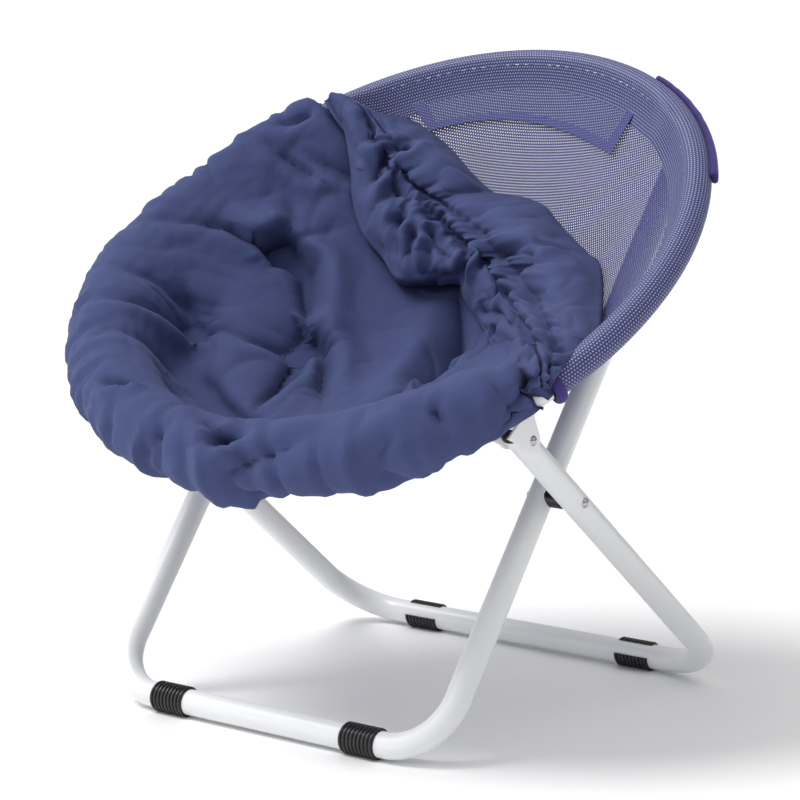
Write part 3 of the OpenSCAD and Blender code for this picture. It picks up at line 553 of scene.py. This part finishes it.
# folds of the cloth: depth and width, then the line that each follows from its deep end
folds = [(0.022, 0.015, [(-0.219, 0.035), (-0.201, 0.036), (-0.179, 0.028), (-0.156, -0.012), (-0.123, -0.078)]),
         (0.019, 0.013, [(-0.123, -0.078), (-0.100, -0.140), (-0.075, -0.235)]),
         (0.007, 0.012, [(-0.123, -0.078), (-0.172, -0.096), (-0.213, -0.100), (-0.233, -0.126)]),
         (0.007, 0.009, [(-0.233, -0.126), (-0.247, -0.137), (-0.263, -0.151), (-0.292, -0.165), (-0.320, -0.170)]),
         (0.006, 0.010, [(-0.233, -0.120), (-0.252, -0.113), (-0.274, -0.114), (-0.305, -0.122)]),
         (0.006, 0.014, [(-0.234, -0.112), (-0.250, -0.085), (-0.262, -0.058)]),
         (0.007, 0.010, [(-0.219, 0.035), (-0.270, 0.028), (-0.302, -0.001), (-0.343, -0.028)]),
         (0.008, 0.009, [(-0.219, 0.040), (-0.219, 0.075), (-0.234, 0.102), (-0.248, 0.114)]),
         (0.006, 0.012, [(-0.219, 0.035), (-0.209, 0.058), (-0.181, 0.079), (-0.157, 0.102)]),
         (0.006, 0.008, [(-0.250, 0.201), (-0.260, 0.187), (-0.293, 0.166)]),
         (0.008, 0.009, [(-0.223, 0.137), (-0.255, 0.143), (-0.283, 0.150), (-0.300, 0.150)]),
         (0.006, 0.009, [(-0.180, 0.160), (-0.217, 0.156), (-0.246, 0.158), (-0.262, 0.170)]),
         (0.006, 0.010, [(-0.248, -0.095), (-0.271, -0.097), (-0.296, -0.105), (-0.340, -0.100)]),
         (0.009, 0.012, [(-0.088, -0.242), (-0.176, -0.191), (-0.216, -0.187), (-0.250, -0.206), (-0.298, -0.215)]),
         (0.008, 0.010, [(-0.082, -0.238), (-0.120, -0.218), (-0.160, -0.197)]),
         (0.008, 0.008, [(-0.156, -0.286), (-0.190, -0.286), (-0.222, -0.282)]),
         (0.005, 0.006, [(-0.156, -0.286), (-0.190, -0.298), (-0.215, -0.312)]),
         (0.010, 0.010, [(0.016, -0.343), (-0.015, -0.322), (-0.049, -0.302)]),
         (0.008, 0.008, [(0.016, -0.343), (0.028, -0.338), (0.040, -0.330)]),
         (0.006, 0.010, [(0.016, -0.343), (0.045, -0.336), (0.074, -0.327)]),
         (0.006, 0.010, [(0.016, -0.343), (-0.010, -0.352), (-0.040, -0.358)]),
         (0.007, 0.012, [(0.029, -0.375), (0.069, -0.355), (0.113, -0.330), (0.140, -0.320)]),
         (0.005, 0.010, [(-0.088, -0.362), (-0.064, -0.339), (-0.050, -0.320)]),
         (0.006, 0.010, [(0.189, -0.332), (0.206, -0.305), (0.215, -0.290)]),
         (0.009, 0.009, [(0.298, -0.170), (0.303, -0.205), (0.292, -0.240), (0.282, -0.262)]),
         (0.007, 0.007, [(0.236, -0.262), (0.252, -0.275), (0.262, -0.285)]),
         (0.016, 0.012, [(-0.125, -0.054), (-0.103, -0.067), (-0.060, -0.130), (-0.011, -0.183)]),
         (0.020, 0.020, [(0.053, -0.082), (0.028, -0.007), (-0.013, 0.080)]),
         (0.020, 0.018, [(0.053, -0.082), (0.058, -0.150), (0.060, -0.225)]),
         (0.014, 0.011, [(0.085, -0.120), (0.066, -0.060), (0.056, 0.010)])]
# every fold: a sharp and a soft valley, in widths of the fold, with a ridge on its left, fading along its line
foldForm = {"gain": 1.65, "fade": 0.85, "fadeFrom": 0.25, "fadeOver": 0.75, "ridge": 0.5, "ridgeAt": 1.9,
            "ridgeWidth": 1.25, "sharp": 0.55, "sharpWidth": 0.40, "soft": 0.60, "softWidth": 1.2}
# small gathers over the hoop: their spacing in degrees, slant, ends, depth and width
gathers = {"first": 6.0, "last": 8, "step": (4.2, 8.5), "slant": (-7, 7), "outerEnd": 0.415,
           "innerEnd": (0.285, 0.345), "depth": (0.0022, 0.0052), "width": (0.0040, 0.0075), "from": 0.27,
           "over": 0.03, "seed": 11}
# a net of fine creases: size, depth and seed, and how sharp its lines are
netSharp, netMean = 0.085, 0.25
coverNet = [(0.150, 0.0050, 21.0), (0.085, 0.0030, 27.0), (0.050, 0.0016, 33.0)]
uneven = {"depth": 0.0032, "size": 0.085, "seed": 5.0, "share": 0.4, "smallSize": 0.036, "smallSeed": 9.0,
          "rollDepth": 0.0012, "rollSize": 0.016, "rollSeed": 2.0, "rollStretch": 2.5, "rollFrom": 0.22,
          "rollOver": 0.1}
# the lining below: rings round the tube, then rings in to the middle, as shares of the edge
lining = {"tubeRings": 10, "tubeEnd": 200, "lift": 0.0015, "edge": 0.285, "reach": 0.315, "fadeRings": 6,
          "fadeOver": 60, "rings": (0.985, 0.9, 0.75, 0.6, 0.45, 0.3, 0.15, 0.05)}


def lineDistance(x, u, line):
    # distance to a chain of short lines, on which side of it, and how far along it the nearest place lies
    best = np.full_like(x, 9.0)
    side = np.ones_like(x)
    share = np.zeros_like(x)
    steps = [math.dist(a, b) for a, b in zip(line, line[1:])]
    done = 0.0
    for (ax, au), (bx, bu), step in zip(line, line[1:], steps):
        t = np.clip(((x - ax) * (bx - ax) + (u - au) * (bu - au)) / step ** 2, 0, 1)
        dx, du = x - ax - t * (bx - ax), u - au - t * (bu - au)
        d = np.hypot(dx, du)
        near = d < best
        best = np.where(near, d, best)
        side = np.where(near, np.sign((bx - ax) * du - (bu - au) * dx + 1e-12), side)
        share = np.where(near, (done + t * step) / sum(steps), share)
        done += step
    return best, side, share


def foldDepth(x, u, depth, width, line):
    d, side, share = lineDistance(x, u, line)
    form = foldForm
    fade = 1 - smooth((share - form["fadeFrom"]) / form["fadeOver"]) * form["fade"]
    ridge = bump(d * side - form["ridgeAt"] * width, form["ridgeWidth"] * width)
    valley = (form["sharp"] * np.exp(-d / (form["sharpWidth"] * width))
              + form["soft"] * np.exp(-d / (form["softWidth"] * width)))
    return form["gain"] * depth * fade * (form["ridge"] * ridge - valley)


def netDepth(points, size, seed):
    return np.exp(-np.abs(noiseAt(points, size, seed)) / netSharp) - netMean


def seatHeight(x, u):
    thick = np.full_like(x, cover["pad"])
    for tx, tu in tufts:
        d = np.hypot(x - tx, u - tu)
        thick = thick - tuft["point"] * np.exp(-d / tuft["pointWidth"]) - tuft["dip"] * bump(d, tuft["dipWidth"])
    r, ahead = np.hypot(x, u), smooth((-u - moat["from"]) / moat["over"])
    thick = thick - moat["depth"] * bump(r - moat["at"], moat["width"]) * ahead
    return bowlHeight(r) + np.maximum(thick, cover["thinnest"])


def edgeRadius(turn, full):  # the cover's edge, cut short where it's turned back
    c, s = np.cos(turn - math.radians(peel["turn"])), np.sin(turn - math.radians(peel["turn"]))
    peak = peel["line"] + peel["bulge"]
    bend = 4 * peak * peel["bulge"] * (s / peel["half"]) ** 2
    cut = 2 * peak / (c + np.sqrt(c * c + bend) + 1e-9)
    return np.where(c > 0, np.minimum(full, cut), full)


bearing = np.radians(np.linspace(0, 360, cover["spokes"], endpoint=False))
degrees = np.degrees(bearing)
onRoll = (degrees >= stations[0]) & (degrees <= stations[-1])
outer, top, lowest, start = [curveAt(stations, values, degrees) for values in (rollOuter, rollTop, rollEnd, rollStart)]
weight = np.where(onRoll, curveAt(stations, rollShare, degrees), 0)
edge = edgeRadius(bearing, np.where(onRoll, curveAt(stations, seatEdges, degrees), cover["seatEdge"]))
cosine, sine = np.cos(bearing), np.sin(bearing)


def ringAt(r, h):
    return np.stack([r * cosine, r * sine, h], -1)


def rollPlace(turn, pinch=1.0):
    swell = 0.5 + 0.5 * np.cos(turn - math.radians(cover["topTurn"]))
    q = (outer + (top - outer) * swell ** cover["topPower"]) * pinch
    return hoop["radius"] + q * np.cos(turn), q * np.sin(turn)


def rollOrEdge(r, h, edgeHeight):  # the roll where there is one, and elsewhere the cover's own edge
    return ringAt(r * weight + edge * (1 - weight), h * weight + edgeHeight * (1 - weight))


# the seat from its middle out
rows = []
for i in range(cover["seatRings"]):
    k = (i + 1) / cover["seatRings"]
    r = k * edge
    full = seatHeight(r * cosine, r * sine)
    low = bowlHeight(r) + cover["edge"]
    fall = math.sqrt(1 - max(0, (k - cover["edgeFrom"]) / cover["edgeOver"]) ** 2)
    rows.append(ringAt(r, np.where(weight > 0, full, low + (full - low) * fall)))
turnRow = cover["seatRings"] + cover["rampRings"]
edgeHeight = rows[-1][:, 2].copy()
# the ramp from the seat up to the roll: a curve with the seat's slope at one end and the roll's at the other
nearEdge = edge - cover["slopeOver"]
slope = (edgeHeight - seatHeight(nearEdge * cosine, nearEdge * sine)) / cover["slopeOver"]
slope = np.clip(slope, *cover["slopes"])
startTurn = np.radians(start)
startR, startH = rollPlace(startTurn)
reach = np.hypot(startR - edge, startH - edgeHeight)
seatWay = np.stack([np.ones_like(slope), slope]) / np.hypot(1, slope) * reach
rollWay = np.stack([np.sin(startTurn), -np.cos(startTurn)]) * reach * cover["rampPull"]
for i in range(cover["rampRings"]):
    t = (i + 1) / (cover["rampRings"] + 1)
    a, b, c, d = 2 * t ** 3 - 3 * t ** 2 + 1, t ** 3 - 2 * t ** 2 + t, 3 * t ** 2 - 2 * t ** 3, t ** 3 - t ** 2
    r = a * edge + b * seatWay[0] + c * startR + d * rollWay[0]
    h = a * edgeHeight + b * seatWay[1] + c * startH + d * rollWay[1]
    rows.append(rollOrEdge(r, h, edgeHeight - cover["edgeStep"] * t))
# the roll over the tube, tucked in to the lining at its end
for i in range(cover["rollRings"] + 1):
    t = i / cover["rollRings"]
    turn = startTurn + (np.radians(lowest) - startTurn) * t
    tucked = smooth((t - cover["tuckFrom"]) / cover["tuckOver"])
    r, h = rollPlace(turn, 1 - tucked * (1 - cover["lining"] / outer) * cover["tuck"])
    rows.append(rollOrEdge(r, h, edgeHeight - cover["edgeStep"] - cover["edgeStep"] * t))
grid = np.array(rows)

normal = np.cross(np.gradient(grid, axis=0), np.roll(grid, -1, 1) - np.roll(grid, 1, 1))
normal /= np.linalg.norm(normal, axis=-1, keepdims=True) + 1e-9
if normal[10, :, 2].mean() < 0:
    normal = -normal
x, u = grid[..., 0], grid[..., 1]
radius = np.hypot(x, u)
lift = np.zeros(grid.shape[:2])
for depth, width, line in folds:
    lift += foldDepth(x, u, depth, width, line)
for tx, tu in tufts:  # short pleats round each tuft
    d, turn = np.hypot(x - tx, u - tu), np.arctan2(u - tu, x - tx)
    lift += (tuft["pleatDepth"] * np.cos(tuft["pleats"] * turn + tuft["pleatTurn"] * tx)
             * np.exp(-d / tuft["pleatReach"]) * smooth(d / tuft["pleatFrom"]))
random = np.random.default_rng(gathers["seed"])
at = stations[0] + gathers["first"]
while at < stations[-1] - gathers["last"]:
    turn, slant = math.radians(at), math.radians(at + random.uniform(*gathers["slant"]))
    near, far = gathers["outerEnd"], random.uniform(*gathers["innerEnd"])
    line = [(near * math.cos(turn), near * math.sin(turn)), (far * math.cos(slant), far * math.sin(slant))]
    depth, width = random.uniform(*gathers["depth"]), random.uniform(*gathers["width"])
    lift += foldDepth(x, u, depth, width, line) * smooth((radius - gathers["from"]) / gathers["over"])
    at += random.uniform(*gathers["step"])
for size, depth, seed in coverNet:
    where = smooth(noiseAt(grid, 1.6 * size, seed + 3) + 0.55)
    lift -= depth * where * netDepth(grid, size, seed)
lift += uneven["depth"] * (noiseAt(grid, uneven["size"], uneven["seed"])
                           + uneven["share"] * noiseAt(grid, uneven["smallSize"], uneven["smallSeed"]))
lift += (uneven["rollDepth"] * noiseAt(grid * np.array([1, 1, uneven["rollStretch"]]), uneven["rollSize"],
                                       uneven["rollSeed"])
         * smooth((radius - uneven["rollFrom"]) / uneven["rollOver"]))
fadeRows = np.ones(len(grid))
fadeRows[-lining["fadeRings"]:] = np.linspace(1, 0, lining["fadeRings"])
rowNumber = np.arange(len(grid))[:, None]
edgeFade = np.minimum(1, np.linspace(len(grid), 0, len(grid))[:, None] / lining["fadeOver"])
lift *= fadeRows[:, None] * np.where(weight > 0, 1, edgeFade)
grid = grid + normal * lift[..., None]
# no fold goes through the lining: it stays above the sling, and outside the tube
radius = np.hypot(grid[..., 0], grid[..., 1])
lowestHere = bowlHeight(radius) + cover["edge"]
tooLow = (radius < lining["reach"]) & (grid[..., 2] < lowestHere) & (rowNumber < turnRow)
grid[..., 2] = np.where(tooLow, lowestHere, grid[..., 2])
out, up = radius - hoop["radius"], grid[..., 2]
push = np.where((weight > 0) & (rowNumber >= cover["seatRings"]),
                np.maximum(1, cover["lining"] / np.maximum(np.hypot(out, up), 1e-4)), 1)
grid[..., 2] = up * push
grid[..., :2] *= ((hoop["radius"] + out * push) / np.maximum(radius, 1e-4))[..., None]

under = []
for i in range(lining["tubeRings"]):
    turn = np.radians(lowest + (lining["tubeEnd"] - lowest) * (i / (lining["tubeRings"] - 1)))
    under.append(rollOrEdge(hoop["radius"] + cover["lining"] * np.cos(turn), cover["lining"] * np.sin(turn),
                            bowlHeight(edge) + lining["lift"]))
rimEdge = np.where(weight > 0, np.maximum(edge, lining["edge"]), edge)
for k in lining["rings"]:
    under.append(ringAt(k * rimEdge, bowlHeight(k * rimEdge) + lining["lift"]))
whole = np.concatenate([grid, np.array(under)])
length = lengthAlong(whole)


def coverUv(i, j):
    a = 2 * math.pi * j / cover["spokes"]
    d = length[i, j % cover["spokes"]]
    return d * math.cos(a), d * math.sin(a)


paddedCover = gridPiece("paddedCover", whole, "cover_cloth", around=True, poles=(True, True), flatUv=coverUv)
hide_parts("seat_pad", "cover_roll_left", "cover_roll_front")
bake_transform(paddedCover)
print("cover ready")

# the skirt, turned back over the mesh, in mm; rows run across the gathered channel, from the peak to the front corner
skirtNet = [
    [(-239, 222, 29), (-234, 225, 33), (-232, 228, 35), (-229, 230, 35),
     (-225, 231, 31), (-224, 236, 25), (-225, 242, 18)],
    [(-214, 203, 20), (-200, 207, 23), (-188, 211, 25), (-181, 217, 22),
     (-177, 221, 20), (-180, 229, 14), (-191, 245, -4)],
    [(-196, 189, 6), (-173, 184, 12), (-156, 183, 9), (-149, 188, 1),
     (-137, 195, 3), (-133, 213, 0), (-151, 255, -22)],
    [(-174, 151, -17), (-150, 151, -6), (-135, 160, -4), (-129, 174, -11),
     (-111, 178, -5), (-93, 200, -9), (-99, 238, -43)],
    [(-158, 118, -33), (-130, 121, -22), (-111, 138, -18), (-104, 157, -25),
     (-81, 161, -17), (-55, 182, -20), (-57, 215, -62)],
    [(-131, 87, -50), (-105, 96, -36), (-85, 117, -30), (-78, 142, -36),
     (-56, 148, -30), (-31, 168, -36), (-24, 199, -75)],
    [(-98, 67, -65), (-77, 80, -47), (-61, 105, -39), (-52, 130, -44),
     (-37, 141, -42), (-15, 159, -51), (-9, 197, -76)],
    [(-66, 45, -76), (-55, 68, -57), (-40, 88, -49), (-28, 109, -55),
     (-6, 117, -47), (40, 134, -42), (50, 187, -78)],
    [(-33, 52, -82), (-20, 63, -65), (-9, 76, -57), (1, 93, -61),
     (31, 93, -51), (94, 97, -35), (95, 157, -83)],
    [(1, 64, -86), (18, 62, -71), (29, 68, -64), (40, 76, -66),
     (65, 71, -56), (138, 64, -31), (150, 117, -79)],
    [(15, 49, -97), (37, 46, -83), (57, 46, -72), (70, 54, -71),
     (95, 50, -59), (183, 24, -25), (193, 84, -67)],
    [(33, 35, -105), (63, 26, -86), (91, 17, -71), (108, 18, -67),
     (144, 3, -48), (230, -31, -11), (246, 8, -45)],
    [(74, -1, -100), (117, -23, -72), (154, -42, -48), (173, -45, -42),
     (213, -65, -16), (280, -94, 12), (307, -84, -5)],
    [(139, -62, -69), (181, -83, -41), (216, -101, -18), (239, -108, -5),
     (271, -125, 14), (305, -134, 22), (318, -124, 9)],
    [(230, -151, -3), (261, -164, 15), (292, -179, 34), (301, -174, 33),
     (307, -170, 29), (312, -160, 21), (313, -147, 12)],
    [(286, -204, 32), (295, -199, 28), (303, -195, 25), (310, -191, 22),
     (311, -186, 18), (312, -181, 15), (311, -173, 11)]]


def refine(net, rowsWanted, columnsWanted):  # Catmull-Rom through the control points, both ways
    def through(points, count):
        n = len(points)
        padded = np.concatenate([[2 * points[0] - points[1]], points, [2 * points[-1] - points[-2]]])
        out = []
        for s in np.linspace(0, n - 1, count):
            i = min(int(s), n - 2)
            t = s - i
            a, b, c, d = padded[i:i + 4]
            out.append(0.5 * (2 * b + (c - a) * t + (2 * a - 5 * b + 4 * c - d) * t ** 2
                              + (3 * b - a - 3 * c + d) * t ** 3))
        return np.array(out)
    first = through(np.asarray(net, float), rowsWanted)
    return through(first.transpose(1, 0, 2), columnsWanted).transpose(1, 0, 2)


# creases of the skirt: depth and width, then places by row and column of the net, deepest first
skirtFolds = [
    (0.006, 0.008, [(0.1, 0.7), (1.2, 0.4), (2.1, 0.8)]),
    (0.007, 0.008, [(2.0, 2.2), (1.3, 3.4), (1.2, 4.2)]),
    (0.012, 0.008, [(2.7, 3.7), (2.9, 4.35), (2.6, 5.5)]),
    (0.011, 0.010, [(3.1, 2.5), (3.5, 1.6), (3.7, 1.0)]),
    (0.010, 0.010, [(4.4, 2.4), (5.0, 1.8), (5.4, 1.3)]),
    (0.008, 0.007, [(5.25, 2.0), (6.3, 1.7), (7.4, 1.5), (8.0, 1.2)]),
    (0.012, 0.007, [(5.6, 1.5), (6.4, 0.9), (7.0, 0.2)]),
    (0.012, 0.007, [(6.6, 1.6), (7.1, 1.0), (7.7, 0.3)]),
    (0.010, 0.006, [(7.6, 1.5), (7.9, 1.0), (8.2, 0.5)]),
    (0.014, 0.007, [(7.1, 2.3), (8.0, 1.8), (8.4, 1.6)]),
    (0.012, 0.007, [(9.0, 1.9), (9.1, 1.2), (9.3, 0.5)]),
    (0.013, 0.009, [(8.9, 3.8), (9.2, 4.8), (9.1, 5.6)]),
    (0.012, 0.009, [(10.1, 4.0), (9.6, 4.6), (9.7, 5.2)]),
    (0.006, 0.012, [(11.0, 4.2), (10.8, 4.65), (10.2, 5.2)]),
    (0.005, 0.014, [(7.7, 4.0), (7.8, 4.4), (7.8, 4.9)]),
    (0.009, 0.009, [(12.8, 4.2), (13.0, 4.8), (13.2, 5.4)]),
    (0.011, 0.007, [(10.6, 3.3), (10.9, 2.2), (11.0, 1.0)]),
    (0.008, 0.007, [(11.3, 0.6), (11.4, 1.8), (12.0, 3.1), (13.2, 3.5)]),
    (0.010, 0.006, [(12.4, 0.4), (12.1, 0.8), (11.9, 1.2)]),
    (0.009, 0.006, [(13.8, 1.2), (13.9, 0.7), (14.1, 0.2)]),
    (0.008, 0.006, [(14.6, 0.3), (14.55, 1.1), (14.5, 1.9)])]
# the gathered channel: its row and its column in the net, and its puffs, as height, place across it and width
channel = [(0, 3.3), (2.4, 3.5), (4.2, 2.8), (5.3, 2.95), (6.9, 3.6), (7.8, 3.7), (9.1, 3.6), (10.2, 3.75),
           (11.1, 3.85), (12.8, 4.0), (13.9, 3.9), (15, 3.6)]
puffs = {"cord": (0.0075, 0, 0.30), "grooves": (0.0050, 0.46, 0.13), "outer": (0.0095, -1.05, 0.62),
         "inner": (0.0060, 0.95, 0.50), "ripple": (0.0012, 0, 0.9), "from": 0.16, "gathers": 46, "uneven": 2.2}
skirt = {"rows": 320, "columns": 90, "fold": 0.005, "foldFrom": 0.7, "foldEdge": 0.8, "foldStart": 0.08,
         "net": [(0.110, 0.0040, 41.0), (0.060, 0.0022, 47.0)], "netEdge": 0.4, "fine": 0.0012, "fineSize": 0.022,
         "edgeFade": 0.5, "thick": 0.012, "thinnest": 0.004, "lift": 0.003, "restFrom": 2.6, "seamUv": 0.01}
netRows, netColumns = len(skirtNet) - 1, len(skirtNet[0]) - 1
surface = refine(np.array(skirtNet) / 1000, skirt["rows"], skirt["columns"])
s = np.linspace(0, 1, skirt["rows"])[:, None]
v = np.linspace(0, netColumns, skirt["columns"])[None, :]
normal = np.cross(np.gradient(surface, axis=0), np.gradient(surface, axis=1))
normal /= np.linalg.norm(normal, axis=-1, keepdims=True) + 1e-12
if normal[..., 2].mean() < 0:
    normal = -normal


def skirtNoise(alongScale, acrossScale, size, seed):
    places = np.stack(np.broadcast_arrays(s * alongScale, v * acrossScale, 0.0), -1)
    return noiseAt(places, size, seed)


def puff(kind, side=1):
    height, at, width = puffs[kind]
    return height * begun * bump(across - side * at, width)


across = v - np.interp(s * netRows, *zip(*channel))
begun = smooth(s / puffs["from"])
skirtFade = smooth(v / skirt["edgeFade"]) * smooth((netColumns - v) / skirt["edgeFade"])
phase = 2 * math.pi * puffs["gathers"] * s + puffs["uneven"] * skirtNoise(30, 0.8, 1.0, 2.0)
cordPuff = np.abs(np.sin(phase * 0.30 + 1.1 * skirtNoise(30, 0.8, 2.0, 8.0)))
sidePuff = np.abs(np.sin(phase * 0.16 + 0.9 * across + 1.2 * skirtNoise(30, 0.8, 3.0, 6.0))) - 0.55
lift = (0.25 + 0.75 * cordPuff) * puff("cord") - puff("grooves") - puff("grooves", -1)
lift = lift + sidePuff * (puff("outer") + puff("inner")) + np.sin(phase) * puff("ripple")
lift = lift + (skirt["fold"] * skirtNoise(9, 0.35, 1.0, 11.0) * smooth(np.abs(across) / skirt["foldFrom"])
               * smooth((netColumns - v) / skirt["foldEdge"]) * smooth(s / skirt["foldStart"]))
for depth, width, line in skirtFolds:
    line = [surface[int(a / netRows * (skirt["rows"] - 1)), int(b / netColumns * (skirt["columns"] - 1))]
            for a, b in line]
    away = np.full(surface.shape[:2], 9.0)
    share = np.zeros_like(away)
    for k, (a, b) in enumerate(zip(line, line[1:])):
        t = np.clip(((surface - a) @ (b - a)) / ((b - a) @ (b - a)), 0, 1)
        d = np.linalg.norm(surface - a - t[..., None] * (b - a), axis=-1)
        share = np.where(d < away, (k + t) / (len(line) - 1), share)
        away = np.minimum(away, d)
    crease = 0.55 * bump(away - 2.0 * width, 1.1 * width) - np.exp(-away / width)
    lift = lift + depth * (1 - 0.75 * smooth((share - 0.3) / 0.7)) * crease * skirtFade
for size, depth, seed in skirt["net"]:
    lift = lift - (depth * netDepth(surface, size, seed) * smooth((netColumns - v) / skirt["edgeFade"])
                   * smooth(v / skirt["netEdge"]))
lift = lift + skirt["fine"] * noiseAt(surface, skirt["fineSize"], 4.0)
topSide = surface + normal * lift[..., None]
# its underside: a little below the surface, and on the sling towards its last column
bowl = bowlHeight(np.hypot(surface[..., 0], surface[..., 1])) + skirt["lift"]
lowSide, resting = surface.copy(), smooth(v - skirt["restFrom"])
lowSide[..., 2] = ((surface[..., 2] - skirt["thick"]) * (1 - resting)
                   + np.minimum(bowl, surface[..., 2] - skirt["thinnest"]) * resting)
ring = np.concatenate([topSide, lowSide[:, ::-1]], axis=1)
lengths, run = lengthAlong(ring, 1), lengthAlong(surface[:, skirt["columns"] // 2])


def skirtUv(i, j):
    m = ring.shape[1]
    return run[i], (lengths[i, j] if j < m else lengths[i, m - 1] + skirt["seamUv"])


coverSkirt = gridPiece("coverSkirt", ring, "cover_cloth", around=True, poles=(True, True), flatUv=skirtUv)
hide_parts("cover_skirt", "elastic_hem")
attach(coverSkirt, "rear_hoop")
print("skirt ready")

# floor
bpy.ops.mesh.primitive_plane_add(size=studio["floorSize"], location=(0, 0, 0))
floor = bpy.context.object
floor.name = "floor"
floorMaterial, nodes, links, shader = newMaterial("floorPaint")
shader.inputs["Base Color"].default_value = (studio["floor"], studio["floor"], studio["floor"], 1)
shader.inputs["Roughness"].default_value = studio["floorRoughness"]
floor.data.materials.append(floorMaterial)
